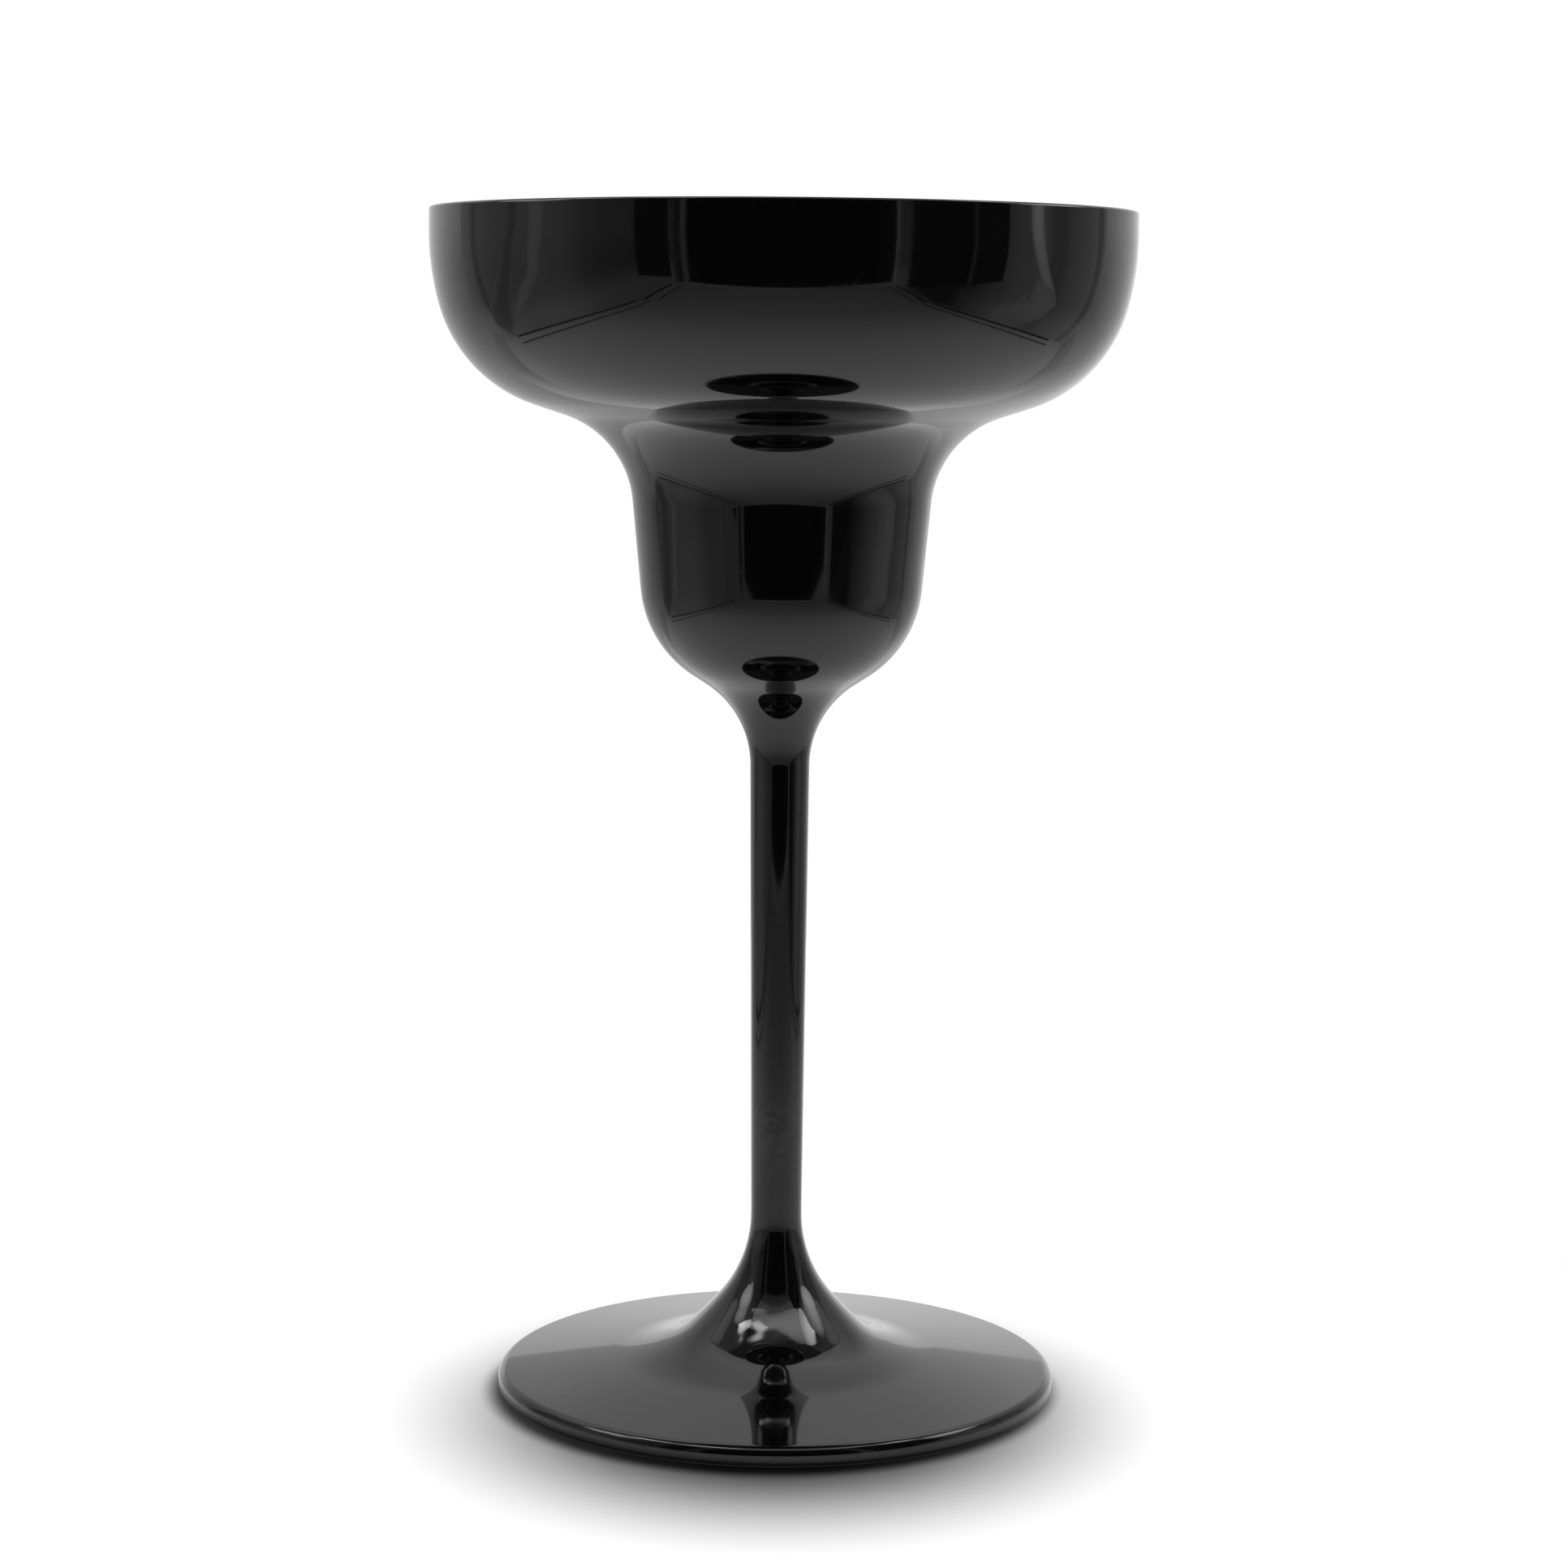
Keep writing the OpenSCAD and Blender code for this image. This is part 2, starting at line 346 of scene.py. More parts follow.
print("radius and height of the hollow's roof", in_mm((roof_r, roof_z)), "mm")

# %% Turn the foot
ring_r = foot_r - ring_w
top_line = (sweep - edge).normalized()
ring_top = sweep_in + top_line * (ring_r - sweep_in.x) / top_line.x
foot = turn_piece("foot_moulding", [
    (0, roof_z, 0),
    (roof_r, roof_z, 0),
    (*under, hollow_round),
    (*waist_in, foot_bends["waist"][2] + foot_wall),
    (*knee_in, foot_bends["knee"][2] + foot_wall),
    (*sweep_in, foot_bends["sweep"][2] + foot_wall),
    (*ring_top, 0),
    (ring_r, 0, 0),
    (foot_r, 0, toe_round),
    (*edge, edge_round),
    *foot_bends.values(),
    (hub_r, hub_z, 0),
    (socket_r, hub_z, 0),
    (socket_r, hub_z - socket_depth, 0),
    (0, hub_z - socket_depth, 0),
])
report(foot, "foot")

# %% [markdown]
# Black acrylic
#
# The glass is moulded from acrylic that is dyed black right through, in polished steel moulds. Almost no
# light comes back out of such a plastic, so the eye sees only what its clear, hard skin mirrors: about 4
# percent when looking straight at it, and nearly all at a glancing angle. That is the Principled shader
# with an index of refraction of 1.49 and almost no colour of its own. What keeps it from looking like a
# perfect computer mirror are a few faint flaws in the skin, which the next cells add one by one.

# %% Add nodes with one helper
def linear(hex_code):
    """An sRGB colour such as #040405 as linear RGBA."""
    values = [int(hex_code[i:i + 2], 16) / 255 for i in (1, 3, 5)]
    return (*(v / 12.92 if v <= 0.04045 else ((v + 0.055) / 1.055) ** 2.4 for v in values), 1)


def add_node(tree, kind, inputs=None, **settings):
    """A node with its settings, whose inputs are values or the outputs of other nodes."""
    made = tree.nodes.new(kind)
    for name, value in settings.items():
        setattr(made, name, value)
    for name, value in (inputs or {}).items():
        if isinstance(value, bpy.types.NodeSocket):
            tree.links.new(value, made.inputs[name])
        else:
            made.inputs[name].default_value = value
    return made


print("black #040405 in linear light:", [round(v, 4) for v in linear("#040405")])

# %% Start the plastic
def bare_material(name):
    """A material with no nodes yet."""
    made = bpy.data.materials.new(name)
    made.use_nodes = True
    made.node_tree.nodes.clear()
    return made


acrylic = bare_material("moulded_black_acrylic")
plastic = acrylic.node_tree
place = add_node(plastic, "ShaderNodeTexCoord").outputs["Object"]
print("started", acrylic.name)

# %% [markdown]
# As the plastic cooled, it shrank, and the skin isn't quite flat any more. A wide, very shallow noise
# bends the normals a little, so that long reflections waver. The same noise makes the gloss a little
# hazier in some places than in others.

# %% Let the skin sink
sink_w, sink_depth = 22 * MM, 0.004 * MM
noise_low, noise_high = 0.3, 0.7
clear_roughness, hazy_roughness = 0.035, 0.055
sink = add_node(plastic, "ShaderNodeTexNoise", {
    "Vector": place, "Scale": 1 / sink_w, "Detail": 1.0}).outputs[0]
sunk = add_node(plastic, "ShaderNodeBump", {
    "Height": sink, "Strength": 1.0, "Distance": sink_depth}).outputs[0]
haze = add_node(plastic, "ShaderNodeMapRange", {
    "Value": sink, "From Min": noise_low, "From Max": noise_high,
    "To Min": clear_roughness, "To Max": hazy_roughness}).outputs[0]
print("skin sinks over", round(sink_w / MM), "mm, roughness", clear_roughness, "to", hazy_roughness)

# %% [markdown]
# Handling leaves hairline scratches. Each family of them is a noise that is drawn out long in one
# direction, of which only the highest peaks count. Real hairlines are finer than a pixel here, so these
# are drawn 0.16 mm wide, and they only make the gloss rougher where they run.

# %% Scratch it
scratch_len, scratch_w = 16 * MM, 0.16 * MM
peak_start, peak_full = 0.76, 0.86
scratch_roughness = 0.12
any_scratch = 0.0
for heading in (25, 80, 140):
    laid = add_node(plastic, "ShaderNodeMapping", {
        "Vector": place,
        "Rotation": [math.radians(turn) for turn in (heading / 3, heading / 5, heading)],
        "Scale": (1 / scratch_len, 1 / scratch_w, 1 / scratch_len),
    }).outputs[0]
    streaks = add_node(plastic, "ShaderNodeTexNoise", {
        "Vector": laid, "Scale": 1.0, "Detail": 0.0}).outputs[0]
    scratches = add_node(plastic, "ShaderNodeMapRange", {
        "Value": streaks, "From Min": peak_start, "From Max": peak_full}).outputs[0]
    any_scratch = add_node(plastic, "ShaderNodeMath", {
        0: scratches, 1: any_scratch}, operation="MAXIMUM").outputs[0]
dulled = add_node(plastic, "ShaderNodeMath", {
    0: any_scratch, 1: scratch_roughness, 2: haze}, operation="MULTIPLY_ADD").outputs[0]
print("scratches about", round(scratch_len / MM), "mm long and", round(scratch_w / MM, 2), "mm wide")

# %% [markdown]
# Two spots are wrinkled: a flow mark that sparkles at the base of the hub, where the plastic met in the
# mould, and a smear on the stem. Modelling such wrinkles would take a very fine mesh, so they are bumps,
# and a mask lets them die out from the middle of the spot.

# %% Wrinkle two spots
def fading(middle, reach):
    """A mask that is 1 at a place on the glass and dies out at a distance from it, both in mm."""
    off = add_node(plastic, "ShaderNodeVectorMath", {
        0: place, 1: Vector(middle) * MM}, operation="DISTANCE").outputs["Value"]
    return add_node(plastic, "ShaderNodeMapRange", {
        "Value": off, "From Max": reach * MM, "To Min": 1.0, "To Max": 0.0},
        interpolation_type="SMOOTHSTEP").outputs[0]


def wrinkled(skin, middle, reach, wrinkle_w, wrinkle_depth):
    """The skin with wrinkles of a width and depth round a place, all in mm."""
    wrinkles = add_node(plastic, "ShaderNodeTexNoise", {
        "Vector": place, "Scale": 1 / (wrinkle_w * MM), "Detail": 0.0}).outputs[0]
    return add_node(plastic, "ShaderNodeBump", {
        "Height": wrinkles, "Strength": fading(middle, reach), "Distance": wrinkle_depth * MM,
        "Normal": skin}).outputs[0]


flow_marked = wrinkled(sunk, middle=(-4.5, -10.9, 12), reach=6.5, wrinkle_w=3.4, wrinkle_depth=0.12)
smeared = wrinkled(flow_marked, middle=(0, -4.2, 43), reach=11, wrinkle_w=1.3, wrinkle_depth=0.02)
print("wrinkled two spots, with", len(plastic.nodes), "nodes so far")

# %% [markdown]
# Where the glass was wiped, on the stem and at the left of the foot, faint pale hairlines curl. The
# contour lines of a soft noise curl like that: they are the places where the noise is close to its middle
# value.

# %% Draw the wiped hairlines
curl_w, hairline_w = 1.9 * MM, 0.2 * MM
noise_middle = 0.5
loops = add_node(plastic, "ShaderNodeTexNoise", {
    "Vector": place, "Scale": 1 / curl_w, "Detail": 1.0}).outputs[0]
above = add_node(plastic, "ShaderNodeMath", {0: loops, 1: noise_middle}, operation="SUBTRACT").outputs[0]
off_line = add_node(plastic, "ShaderNodeMath", {0: above}, operation="ABSOLUTE").outputs[0]
hairline = add_node(plastic, "ShaderNodeMapRange", {
    "Value": off_line, "From Max": hairline_w / curl_w, "To Min": 1.0, "To Max": 0.0}).outputs[0]
wiped_stem = fading(middle=(-0.6, -4.2, 42), reach=10)
wiped_foot = fading(middle=(-35, -17, 4), reach=11)
wiped = add_node(plastic, "ShaderNodeMath", {0: wiped_stem, 1: wiped_foot}, operation="MAXIMUM").outputs[0]
paled = add_node(plastic, "ShaderNodeMath", {0: hairline, 1: wiped}, operation="MULTIPLY").outputs[0]
print("hairlines about", round(hairline_w / MM, 1), "mm wide in curls of", round(curl_w / MM, 1), "mm")

# %% [markdown]
# All the flaws now meet in one shader. The wiped hairlines change its colour, the haze and the scratches
# its roughness, and the sinks and wrinkles its normal. The index of refraction is the same all over, so
# it is set on the shader itself.

# %% Join the plastic
black, pale = linear("#040405"), linear("#232325")
acrylic_ior = 1.49
factor, colour_a, colour_b, colour_out = 0, 6, 7, 2
dye = add_node(plastic, "ShaderNodeMix", {
    factor: paled, colour_a: black, colour_b: pale}, data_type="RGBA").outputs[colour_out]
shader = add_node(plastic, "ShaderNodeBsdfPrincipled", {
    "Base Color": dye, "IOR": acrylic_ior, "Roughness": dulled, "Normal": smeared})
add_node(plastic, "ShaderNodeOutputMaterial", {"Surface": shader.outputs[0]})
print(acrylic.name, "has", len(plastic.nodes), "nodes")

# %% [markdown]
# The three mouldings are of the same plastic. Nothing on this glass moves, so all of them ride on the one
# body of the frame, and each takes the place of the CAD solid that it was modelled after.

# %% Give the pieces their plastic and their place in the frame
for piece, node in ((bowl, "bowl"), (stem, "stem"), (foot, "foot")):
    piece.data.materials.clear()
    piece.data.materials.append(acrylic)
    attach(piece, "root")
    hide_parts(node)
    print(piece.name, "stands for", node)

# %% [markdown]
# The light tent
#
# A black gloss shows the room rather than itself, so the room has to be right. The reflections in the
# photo are those of a small cloth tent, and following a few of them from the camera off the glass gives
# its size: walls about 300 mm to the left and right, a roof at 600 mm, a white floor, and a front that is
# open to a dark room. The cloth glows because lamps shine on it from outside. So the walls are cards that
# give off their own soft light, brighter in some places than in others, and the camera doesn't see any of
# them.

# %% Make cloth that glows
def light_up(tree, strength):
    """Ends a material in white light of a strength."""
    light = add_node(tree, "ShaderNodeEmission", {"Color": (1, 1, 1, 1), "Strength": strength})
    add_node(tree, "ShaderNodeOutputMaterial", {"Surface": light.outputs[0]})


def glowing(name, across, up):
    """Cloth that glows by levels across its card plus levels up it, each as (share of the way, level)."""
    made = bare_material(name)
    tree = made.node_tree
    spot = add_node(tree, "ShaderNodeTexCoord").outputs["Object"]
    sides = add_node(tree, "ShaderNodeSeparateXYZ", {0: spot}).outputs
    strength = 0
    for axis, stops in enumerate((across, up)):
        share = add_node(tree, "ShaderNodeMath", {0: sides[axis], 1: 0.5}, operation="ADD").outputs[0]
        curve = add_node(tree, "ShaderNodeFloatCurve", {"Value": share})
        top = max(level for _, level in stops) or 1
        points = curve.mapping.curves[0].points
        while len(points) < len(stops):
            points.new(0.5, 0.5)
        for point, (at, level) in zip(points, stops):
            point.location = (at, level / top)
            point.handle_type = "VECTOR"
        curve.mapping.update()
        strength = add_node(tree, "ShaderNodeMath", {
            0: curve.outputs[0], 1: top, 2: strength}, operation="MULTIPLY_ADD").outputs[0]
    light_up(tree, strength)
    return made


print("made the cloth's recipe,", glowing.__name__)

# %% Cut a card of that cloth
unlit = [(0, 0), (1, 0)]


def card(name, centre, turn, size, across, up=unlit):
    """A glowing card that the camera doesn't see."""
    bpy.ops.object.select_all(action="DESELECT")
    bpy.ops.mesh.primitive_plane_add(size=1, location=centre, rotation=turn)
    made = bpy.context.object
    made.name = name
    made.scale = (*size, 1)
    made.visible_camera = False
    made.data.materials.append(glowing(name + "_cloth", across, up))
    print(name, "levels", [round(level, 2) for _, level in across])
    return made


def shares(low, high, stops):
    """Stops at places between two ends, in mm, as shares of the way."""
    return [((at * MM - low) / (high - low), level) for at, level in stops]


left_x, right_x, front_y, back_y, roof_top = (v * MM for v in (-297, 300, -445, 155, 600))
depth, width = back_y - front_y, right_x - left_x
middle_y, middle_z = (front_y + back_y) / 2, roof_top / 2
print("tent", in_mm((width, depth, roof_top)), "mm")

# %% [markdown]
# The side walls are dark towards the opening and light from the middle to the back. The narrow dips and
# peaks in the levels are the tent's poles and seams. The first list of each wall runs from the opening to
# the back, as places along y in mm with a level each. The second list runs from the floor up, and is
# added to it.

# %% Hang the side walls
upright = math.pi / 2
along_side = (upright, 0, upright)
card("left_wall", (left_x, middle_y, middle_z), along_side, (depth, roof_top),
     shares(front_y, back_y, [
         (-445, 0.16), (-430, 0.09), (-300, 0.09), (-288, 0.13), (-200, 0.16), (-166, 0.21), (-120, 0.34),
         (-85, 0.38), (-50, 0.38), (-20, 0.34), (10, 0.3), (88, 0.31), (97, 0.21), (107, 0.21), (116, 0.37),
         (155, 0.43)]),
     shares(0, roof_top, [
         (0, 0.22), (50, 0.21), (70, 0.13), (80, 0.08), (100, 0.02), (130, 0.02), (180, 0.07), (600, 0.07)]))
card("right_wall", (right_x, middle_y, middle_z), along_side, (depth, roof_top),
     shares(front_y, back_y, [
         (-445, 0.42), (-436, 0.36), (-424, 0.23), (-390, 0.21), (-378, 0.1), (-368, 0.05), (-200, 0.04),
         (-176, 0.09), (-152, 0.17), (-128, 0.26), (-105, 0.33), (-85, 0.4), (-30, 0.43), (-14, 0.27),
         (12, 0.24), (33, 0.33), (60, 0.36), (114, 0.42), (119, 0.28), (137, 0.28), (142, 0.44),
         (155, 0.5)]),
     shares(0, roof_top, [(0, 0.14), (50, 0.12), (65, 0.06), (85, 0), (600, 0)]))

# %% [markdown]
# The back wall is lighter towards its top, and has a light band of its own just over the floor. The front
# is the opening, which is nearly black, with a pale pole at its left. The roof has one bright stretch, in
# front of the middle.

# %% Hang the back, the front and the roof
low_band = 44 * MM
facing_front = (upright, 0, 0)
card("back_wall", (0, back_y, (roof_top + low_band) / 2), facing_front, (width, roof_top - low_band),
     shares(left_x, right_x, [
         (-297, 0.5), (-209, 0.57), (-140, 0.63), (0, 0.65), (40, 0.68), (60, 0.78), (80, 0.95), (110, 0.85),
         (140, 0.74), (170, 0.66), (221, 0.6), (300, 0.46)]),
     shares(low_band, roof_top, [
         (44, 0.14), (60, 0.08), (95, 0), (150, 0.02), (187, 0.16), (230, 0.34), (320, 0.65), (600, 0.65)]))
card("back_wall_foot", (0, back_y, low_band / 2), facing_front, (width, low_band),
     shares(left_x, right_x, [
         (-297, 0.55), (-170, 0.66), (-100, 1.15), (0, 1.22), (60, 1.3), (110, 1.2), (180, 0.7),
         (300, 0.5)]))
card("open_front", (0, front_y, middle_z), facing_front, (width, roof_top),
     shares(left_x, right_x, [
         (-297, 0.15), (-286, 0.16), (-277, 0.08), (-268, 0.08), (-260, 0.3), (-252, 0.32), (-243, 0.06),
         (-237, 0.02), (230, 0.02), (290, 0.04), (300, 0.2)]))
card("roof", (0, middle_y, roof_top), (0, 0, upright), (depth, width),
     shares(front_y, back_y, [
         (-445, 0.1), (-392, 0.26), (-336, 0.3), (-300, 0.5), (-276, 0.79), (-190, 0.85), (-178, 0.5),
         (-162, 0.25), (-148, 0.15), (155, 0.13)]))

# %% [markdown]
# Details of the tent show in the gloss as thin lines, and without them the reflections look like a
# drawing. Dark flaps hang beside the opening, cut on a slant, and a pale hem lies along its foot.

# %% Hang the flaps and the hem
flap_gap = 2 * MM


def flap(name, x, ends, feet, levels):
    """A dark flap along a side wall between two ends, whose lower edge slants between two heights, in mm."""
    made = card(name, (x, sum(ends) / 2 * MM, middle_z), along_side,
                ((ends[1] - ends[0]) * MM, roof_top), shares(ends[0] * MM, ends[1] * MM, levels))
    for corner in made.data.vertices:
        if corner.co.y < 0:
            corner.co.y += feet[corner.co.x > 0] * MM / roof_top


flap("left_flap", left_x + flap_gap, ends=(-428, -300), feet=(22, 64), levels=[(-428, 0.035), (-300, 0.035)])
flap("right_flap", right_x - flap_gap, ends=(-370, -113), feet=(12, 102), levels=[
    (-370, 0.04), (-193, 0.03), (-188, 0.14), (-184, 0.14), (-179, 0.04), (-113, 0.04)])
patch_y, patch_z, patch_len, patch_h = -278 * MM, 37 * MM, 148 * MM, 54 * MM
card("right_flap_foot", (right_x - flap_gap / 2, patch_y, patch_z), along_side, (patch_len, patch_h),
     [(0, 0.12), (0.3, 0.06), (0.85, 0.06), (1, 0.1)])
hem_x, hem_len, hem_h, hem_level = 25 * MM, 540 * MM, 5.5 * MM, 0.4
card("front_hem", (hem_x, front_y + flap_gap / 2, hem_h / 2), facing_front, (hem_len, hem_h),
     [(0, hem_level), (1, hem_level)])

# %% [markdown]
# Two dark lines run along each side of the floor: the edge of the floor's paper, and outside it the rod
# of the tent's frame. Both are narrow cards that lie just over the floor.

# %% Lay the rods and the paper's edges
line_y, line_len, line_lift = -160 * MM, 510 * MM, 1.5 * MM
rod_w, rod_level = 8 * MM, 0.05
paper_edge_w, paper_edge_level = 5 * MM, 0.12
for name, x, line_w, level in (
        ("left_rod", -290, rod_w, rod_level),
        ("left_paper_edge", -259, paper_edge_w, paper_edge_level),
        ("right_rod", 293, rod_w, rod_level),
        ("right_paper_edge", 270, paper_edge_w, paper_edge_level)):
    card(name, (x * MM, line_y, line_lift), (0, 0, 0), (line_w, line_len), [(0, level), (1, level)])

# %% [markdown]
# The lamps stand outside the tent, so inside they show as soft bright spots on the cloth: one on each
# side wall, and a band across the roof that comes down to a spot high on each side. These are drawn as
# rolls: a path with a width at each point, as a bevelled curve. The Layer Weight node knows where a roll
# turns away from the eye, and there its glow drops to that of the cloth.

# %% Make the cloth of a roll
def roll_cloth(name, heights, levels, rest):
    """Cloth with a level at a roll's lowest height and one at its highest, and another at its sides."""
    made = bare_material(name)
    tree = made.node_tree
    spot = add_node(tree, "ShaderNodeTexCoord").outputs["Object"]
    height = add_node(tree, "ShaderNodeSeparateXYZ", {0: spot}).outputs["Z"]
    peak = add_node(tree, "ShaderNodeMapRange", {
        "Value": height, "From Min": min(heights), "From Max": max(heights) + MM,
        "To Min": levels[0], "To Max": levels[1]}).outputs[0]
    turned = add_node(tree, "ShaderNodeLayerWeight", {"Blend": 0.5}).outputs["Facing"]
    strength = add_node(tree, "ShaderNodeMapRange", {"Value": turned, "To Min": peak, "To Max": rest})
    light_up(tree, strength.outputs[0])
    return made


print("made the recipe of the rolls' cloth,", roll_cloth.__name__)

# %% Bevel a path into a roll
path_order, bevel_steps = 3, 6


def roll(name, line, levels, rest=0.5):
    """A band of cloth along a path of (x, y, z, half width) points, in mm."""
    bpy.ops.object.select_all(action="DESELECT")
    bpy.ops.curve.primitive_nurbs_path_add()
    made = bpy.context.object
    made.name = name
    path = made.data.splines[0]
    path.points.add(len(line) - len(path.points))
    path.order_u = path_order
    for point, (x, y, z, half_w) in zip(path.points, line):
        point.co = (x * MM, y * MM, z * MM, 1)
        point.radius = half_w
    made.data.bevel_depth = MM
    made.data.bevel_resolution = bevel_steps
    made.visible_camera = False
    heights = [z * MM for _, _, z, _ in line]
    made.data.materials.append(roll_cloth(name + "_cloth", heights, levels, rest))
    print(name, "levels", levels)


def on_wall(x, line):
    """Points of a path along a side wall, from (y, z, half width)."""
    return [(x / MM, *point) for point in line]


print("a roll has", 4 * (bevel_steps + 1), "faces round its path")

# %% Roll the lamps' spots
roll("left_spot", on_wall(left_x, [
    (-35, 203, 0), (-35, 212, 62), (-40, 262, 82), (-40, 312, 75), (-42, 350, 55), (-55, 395, 25),
    (-60, 420, 0)]), levels=(4.4, 4.4))
roll("right_spot", on_wall(right_x, [
    (0, 203, 0), (0, 212, 68), (-3, 265, 84), (-12, 318, 68), (-25, 355, 48), (-42, 405, 28),
    (-55, 425, 0)]), levels=(5, 5))
roll("roof_band", [
    (-295, -135, 600, 45), (-200, -183, 600, 42), (-100, -212, 600, 32), (0, -225, 600, 28),
    (100, -212, 600, 32), (200, -180, 600, 48), (297, -130, 600, 55)], levels=(3.2, 3.2), rest=0.8)
roll("roof_spot", [
    (-285, -130, 560, 0), (-235, -146, 560, 30), (-180, -166, 560, 30), (-130, -180, 560, 25),
    (-70, -192, 560, 0)], levels=(9, 9), rest=3.0)
roll("left_top_spot", on_wall(left_x, [
    (-140, 598, 0), (-120, 570, 35), (-75, 510, 35), (-35, 455, 30), (-5, 415, 0)]), levels=(14, 12))
roll("right_top_spot", on_wall(right_x, [
    (-135, 598, 0), (-110, 560, 50), (-65, 505, 55), (-35, 460, 45), (0, 420, 0)]), levels=(8, 6))

# %% [markdown]
# Fainter rolls are the cloth itself: a glow at the back of each side wall, a fold on each side that
# catches light, a darker crease beside the left fold, and a low glow on the right.

# %% Roll the glows and the folds
for name, x in (("left_back_glow", left_x), ("right_back_glow", right_x)):
    roll(name, on_wall(x, [
        (112, 222, 0), (108, 245, 48), (104, 290, 60), (98, 335, 48), (92, 365, 0)]),
        levels=(1.1, 1.1), rest=0.45)
roll("left_fold", on_wall(left_x, [
    (-68, 240, 19), (-64, 190, 19), (-56, 150, 14), (-45, 117, 12), (8, 84, 10), (67, 28, 5)]),
    levels=(0.5, 0.72), rest=0.36)
roll("left_crease", on_wall(left_x, [
    (-30, 250, 6), (-12, 190, 10), (15, 130, 14), (50, 95, 22), (80, 64, 32), (100, 34, 26), (108, 8, 0)]),
    levels=(0.2, 0.3), rest=0.42)
roll("right_fold", on_wall(right_x, [
    (-58, 240, 15), (-53, 185, 15), (-40, 150, 13), (-20, 122, 11), (10, 98, 9), (25, 84, 5)]),
    levels=(0.6, 1.6), rest=0.36)
roll("right_low_glow", on_wall(right_x, [
    (-40, 118, 0), (-18, 96, 32), (-15, 76, 40), (-45, 52, 38), (-100, 30, 15)]),
    levels=(0.62, 0.64), rest=0.45)

# %% [markdown]
# The cards light the glass, but the floor needs more light than they give. A wide lamp under the roof
# adds it, and its size keeps the foot's shadow soft. The camera and the gloss don't see this lamp, so it
# leaves no shape on the glass.

# %% Light the floor
lamp_y, lamp_drop = -90 * MM, 60 * MM
lamp_w, lamp_d, lamp_power = 560 * MM, 480 * MM, 2.4
bpy.ops.object.select_all(action="DESELECT")
bpy.ops.object.light_add(type="AREA", location=(0, lamp_y, roof_top - lamp_drop))
roof_lamp = bpy.context.object
roof_lamp.name = "roof_lamp"
roof_lamp.data.shape = "RECTANGLE"
roof_lamp.data.size, roof_lamp.data.size_y = lamp_w, lamp_d
roof_lamp.data.energy = lamp_power
roof_lamp.visible_camera = roof_lamp.visible_glossy = False
print("roof lamp", in_mm((lamp_w, lamp_d)), "mm,", lamp_power, "W")

# %% [markdown]
# The floor
#
# The floor is plain white paper. The photo was cleaned afterwards, as such photos are: the paper was
# lifted to white, so more than half of what the camera and the gloss see here is the paper's own glow.
# For the camera it glows the same all over. In the gloss, the glow falls off in front of the glass,
# towards the dark opening.

# %% Start the paper
floor_paper = bare_material("white_paper_floor")
layers = floor_paper.node_tree
spot = add_node(layers, "ShaderNodeTexCoord").outputs["Object"]
rays = add_node(layers, "ShaderNodeLightPath").outputs
mirrored = add_node(layers, "ShaderNodeMath", {
    0: rays["Is Glossy Ray"], 1: rays["Is Transmission Ray"]}, operation="MAXIMUM").outputs[0]
seen = add_node(layers, "ShaderNodeMath", {
    0: mirrored, 1: rays["Is Camera Ray"]}, operation="MAXIMUM").outputs[0]
print("started", floor_paper.name)

# %% Let the paper glow
paper_white = linear("#f4f4f4")
full_glow, far_glow, glow_share = 1.06, 0.17, 0.6
falls_from, falls_to = 50 * MM, 290 * MM
sideways_share = 0.55

# Places behind the glass count as level with it, and a way to the side counts for little more than half
in_front = add_node(layers, "ShaderNodeVectorMath", {
    0: spot, 1: (1, 0, 1)}, operation="MINIMUM").outputs[0]
narrowed = add_node(layers, "ShaderNodeVectorMath", {
    0: in_front, 1: (sideways_share, 1, 1)}, operation="MULTIPLY").outputs[0]
ahead = add_node(layers, "ShaderNodeVectorMath", {0: narrowed}, operation="LENGTH").outputs["Value"]
falling = add_node(layers, "ShaderNodeMapRange", {
    "Value": ahead, "From Min": falls_from, "From Max": falls_to, "To Min": full_glow, "To Max": far_glow},
    interpolation_type="SMOOTHSTEP").outputs[0]
for_camera = add_node(layers, "ShaderNodeMath", {
    0: rays["Is Camera Ray"], 1: full_glow}, operation="MULTIPLY").outputs[0]
strength = add_node(layers, "ShaderNodeMath", {0: falling, 1: for_camera}, operation="MAXIMUM").outputs[0]
glow = add_node(layers, "ShaderNodeEmission", {"Color": (1, 1, 1, 1), "Strength": strength}).outputs[0]
paper = add_node(layers, "ShaderNodeBsdfDiffuse", {"Color": paper_white}).outputs[0]
lifted = add_node(layers, "ShaderNodeMath", {0: seen, 1: glow_share}, operation="MULTIPLY").outputs[0]
white = add_node(layers, "ShaderNodeMixShader", {0: lifted, 1: paper, 2: glow}).outputs[0]
print("paper glows", full_glow, "at the glass and", far_glow, "at", round(falls_to / MM), "mm from it")

# %% [markdown]
# Paper has a slight sheen at low angles, and that is how the upright stem sees it. There the sheen
# mirrors the dark opening, so the stem shows a darker floor than the coupe does.

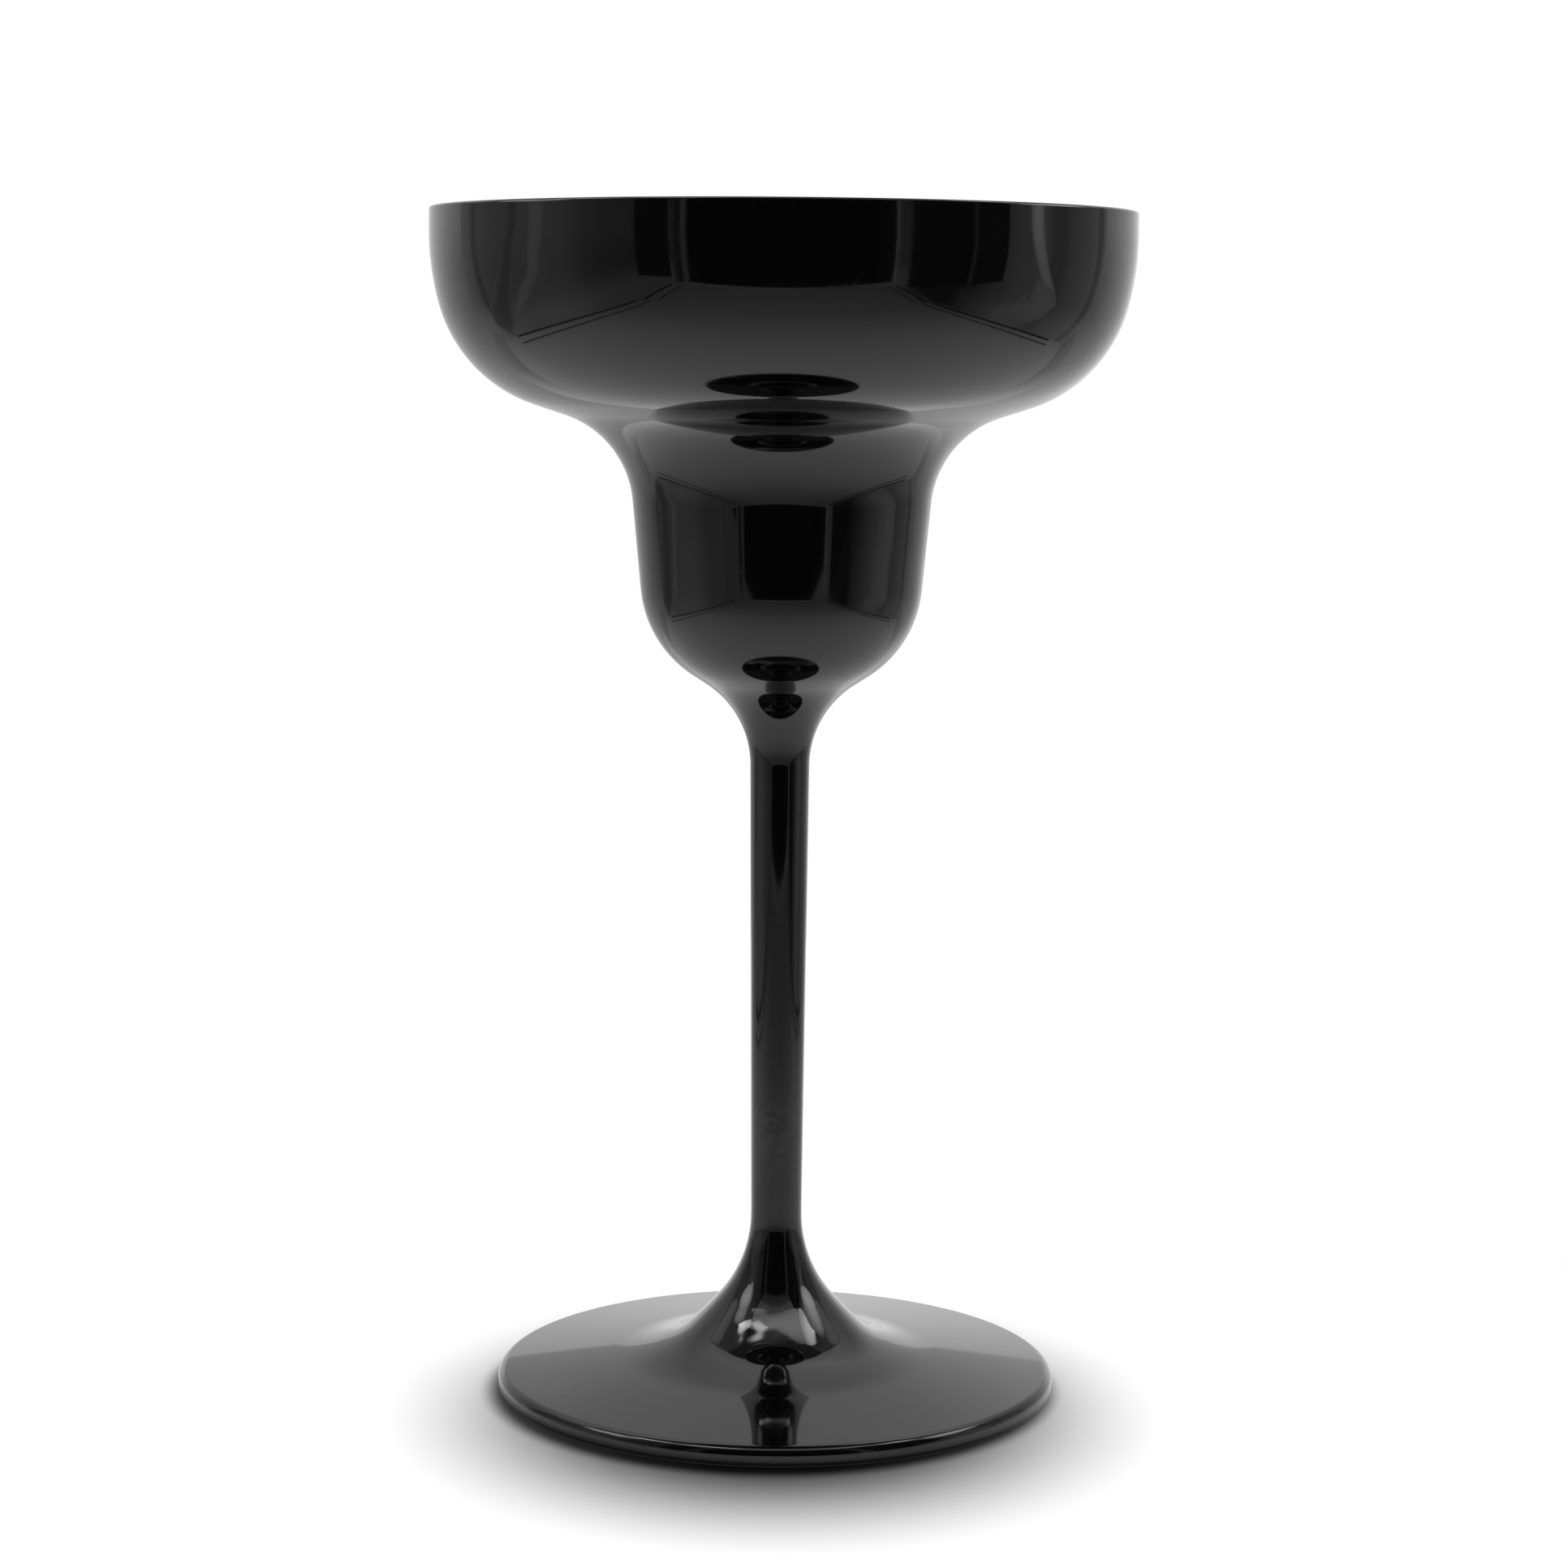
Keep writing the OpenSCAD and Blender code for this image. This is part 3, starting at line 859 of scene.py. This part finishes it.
# %% Give the paper its sheen
low_start, low_full = 0.5, 0.8
most_sheen, sheen_roughness = 0.28, 0.25
low_angle = add_node(layers, "ShaderNodeLayerWeight", {"Blend": 0.5}).outputs["Facing"]
sheen_there = add_node(layers, "ShaderNodeMapRange", {
    "Value": low_angle, "From Min": low_start, "From Max": low_full, "To Max": most_sheen},
    interpolation_type="SMOOTHSTEP").outputs[0]
sheen = add_node(layers, "ShaderNodeMath", {0: mirrored, 1: sheen_there}, operation="MULTIPLY").outputs[0]
gloss = add_node(layers, "ShaderNodeBsdfGlossy", {
    "Color": (1, 1, 1, 1), "Roughness": sheen_roughness}).outputs[0]
sheened = add_node(layers, "ShaderNodeMixShader", {0: sheen, 1: white, 2: gloss}).outputs[0]
print("sheen of up to", most_sheen, "at low angles")

# %% [markdown]
# The shadow in front of the foot is deepened as well, with painted shadow. Its darkest part, where the foot
# touches the paper, is a painted contact shadow that shows in the gloss of the foot's edge too, but the bowl
# doesn't mirror the wide soft part. So that part is a painted shadow that only the camera sees, on top of
# the true shadow.

# %% Paint the shadow into the paper
def painted_shadow_tone(x, y, stretch, inner, outer, least):
    """A painted shadow: a tone that is least within one radius of a place and 1 outside another, in mm."""
    moved = add_node(layers, "ShaderNodeMapping", {
        "Vector": spot, "Location": (-x * stretch * MM, -y * MM, 0), "Scale": (stretch, 1, 1)}).outputs[0]
    off = add_node(layers, "ShaderNodeVectorMath", {0: moved}, operation="LENGTH").outputs["Value"]
    return add_node(layers, "ShaderNodeMapRange", {
        "Value": off, "From Min": inner * MM, "From Max": outer * MM, "To Min": least},
        interpolation_type="SMOOTHSTEP").outputs[0]


# Two painted shadows: a wide soft one in front of the foot, and a narrow dark one where the foot touches the
# paper
painted_wide_shadow = painted_shadow_tone(x=-0.2, y=-15.8, stretch=1.12, inner=24, outer=75, least=0.0)
painted_contact_shadow = painted_shadow_tone(x=-0.7, y=-2.7, stretch=1, inner=43, outer=47.3, least=0.11)
# Black is mixed into the paper by these two painted shadows
dark = add_node(layers, "ShaderNodeBsdfDiffuse", {"Color": (0, 0, 0, 1)}).outputs[0]
with_painted_contact_shadow = add_node(layers, "ShaderNodeMixShader", {0: painted_contact_shadow, 1: dark, 2: sheened}).outputs[0]
with_painted_shadows = add_node(layers, "ShaderNodeMixShader", {0: painted_wide_shadow, 1: dark, 2: with_painted_contact_shadow}).outputs[0]
print("two shadow tones, with", len(layers.nodes), "nodes so far")

# %% [markdown]
# In the photo, the paper runs on into the white background without an edge. A plane has an edge, and its
# tone is never quite that of the world behind it. So for the camera, the paper turns transparent a little
# way from the glass, where its shadow has ended. In the gloss it stays whole, because the glass mirrors
# it as far as the tent's walls.

# %% Fade it out and lay the floor
fade_from, fade_to = 100 * MM, 180 * MM
floor_size = 2000 * MM
away = add_node(layers, "ShaderNodeVectorMath", {0: spot}, operation="LENGTH").outputs["Value"]
fade = add_node(layers, "ShaderNodeMapRange", {
    "Value": away, "From Min": fade_from, "From Max": fade_to}, interpolation_type="SMOOTHSTEP").outputs[0]
gone = add_node(layers, "ShaderNodeBsdfTransparent").outputs[0]
faded = add_node(layers, "ShaderNodeMixShader", {0: fade, 1: with_painted_shadows, 2: gone}).outputs[0]
# Every ray sees the narrow painted shadow; the camera also sees the wide painted shadow and the fade
both = add_node(layers, "ShaderNodeMixShader", {
    0: rays["Is Camera Ray"], 1: with_painted_contact_shadow, 2: faded}).outputs[0]
add_node(layers, "ShaderNodeOutputMaterial", {"Surface": both})

bpy.ops.object.select_all(action="DESELECT")
bpy.ops.mesh.primitive_plane_add(size=floor_size)
floor = bpy.context.object
floor.name = "tent_floor"
floor.data.materials.append(floor_paper)
print(floor.name, "fades out from", round(fade_from / MM), "to", round(fade_to / MM), "mm")

# %% [markdown]
# White all round
#
# The photo's background is plain white, so behind the floor the world is white at a strength of 1. The
# tent closes the world off from everything but the camera, so this white adds no light to the glass.

# %% Set the world and the view
world = bpy.data.worlds.new("white_backdrop")
bpy.context.scene.world = world
world.use_nodes = True
world.node_tree.nodes["Background"].inputs["Color"].default_value = (1, 1, 1, 1)
world.node_tree.nodes["Background"].inputs["Strength"].default_value = 1
bpy.context.scene.view_settings.view_transform = "Standard"
print("world", world.name, "view", bpy.context.scene.view_settings.view_transform)
